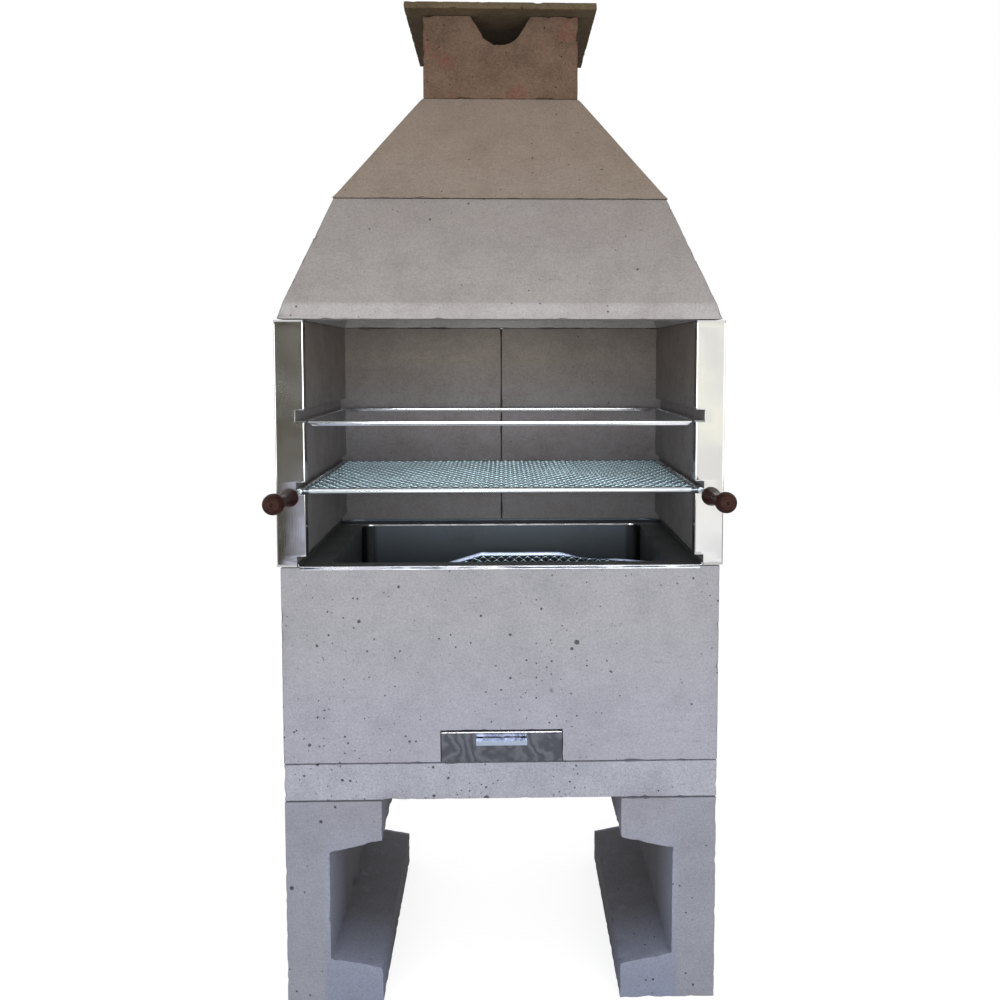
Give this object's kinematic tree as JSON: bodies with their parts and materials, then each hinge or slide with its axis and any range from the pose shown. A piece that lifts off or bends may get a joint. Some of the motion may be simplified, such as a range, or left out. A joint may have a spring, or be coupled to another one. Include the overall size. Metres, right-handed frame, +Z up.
{
  "type": "charbroiler grill",
  "caption": "Free-standing precast concrete charcoal barbecue with hood and chimney, sliding mesh grill with wooden handles, skewer frame, brazier pan, grate and ash drawer.",
  "frame": {"origin": "bottom centre of the whole object's box, on the floor", "axes": "+Z up; -Y is the open front that the cook faces; +X to the right seen from the front"},
  "size_m": [0.729, 0.7099, 1.708],
  "materials": {
    "concrete_lower": "cast concrete, smooth from the mould, with air pits",
    "concrete_slab": "cast concrete, densely pitted",
    "concrete_chamber": "cast refractory concrete, matt, darker inside",
    "concrete_hood_lower": "cast concrete, smooth",
    "concrete_hood_upper": "cast concrete, brown-grey",
    "concrete_chimney": "cast concrete, brown, rough and stained",
    "concrete_cap": "cast concrete slab, olive brown",
    "steel_mirror": "mirror-polished stainless sheet",
    "steel_pan": "polished stainless, darkened by heat",
    "steel_bar": "bright drawn stainless bar",
    "steel_mesh": "expanded stainless sheet",
    "steel_drawer": "polished stainless sheet with swirled reflections",
    "wood_handle": "turned hardwood under dark red-brown varnish"
  },
  "bodies": {
    "stand": {"leg_left": "concrete_lower", "leg_right": "concrete_lower", "base_slab": "concrete_slab", "firebox": "concrete_lower", "chamber_left": "concrete_chamber", "chamber_right": "concrete_chamber", "hood_lower": "concrete_hood_lower", "hood_upper": "concrete_hood_upper", "chimney_duct": "concrete_chimney", "chimney_cap": "concrete_cap", "edge_strip_left": "steel_mirror", "edge_strip_right": "steel_mirror", "brazier_pan": "steel_pan", "ash_chute": "steel_pan"},
    "skewer_frame": {"skewer_rail_front": "steel_mirror", "skewer_rail_back": "steel_mirror", "skewer_rail_left": "steel_mirror", "skewer_rail_right": "steel_mirror"},
    "mesh_grill": {"grill_side_bar_left": "steel_bar", "grill_side_bar_right": "steel_bar", "grill_front_bar": "steel_bar", "grill_cross_bar_front": "steel_bar", "grill_cross_bar_back": "steel_bar", "grill_mesh": "steel_mesh", "handle_rod_left": "steel_bar", "handle_rod_right": "steel_bar", "wooden_handle_left": "wood_handle", "wooden_handle_right": "wood_handle"},
    "charcoal_grate": {"grate_mesh": "steel_mesh", "grate_leg": "steel_mesh", "grate_strip_front": "steel_bar", "grate_strip_rear": "steel_bar"},
    "ash_drawer": {"drawer_tray": "steel_drawer", "drawer_front": "steel_drawer", "pull_spacer": "steel_bar", "drawer_pull": "steel_mirror", "pull_screws": "steel_bar"}
  },
  "joints": [
    {"name": "ash_drawer_slide", "type": "slide", "parent": "stand", "child": "ash_drawer", "axis": [0, -1, 0], "range_m": [0, 0.34]},
    {"name": "mesh_grill_slide", "type": "slide", "parent": "stand", "child": "mesh_grill", "axis": [0, -1, 0], "range_m": [0, 0.35]},
    {"name": "skewer_frame_slide", "type": "slide", "parent": "stand", "child": "skewer_frame", "axis": [0, -1, 0], "range_m": [0, 0.35]},
    {"name": "charcoal_grate_lift", "type": "slide", "parent": "stand", "child": "charcoal_grate", "axis": [0, 0, 1], "range_m": [0, 0.1]}
  ]
}
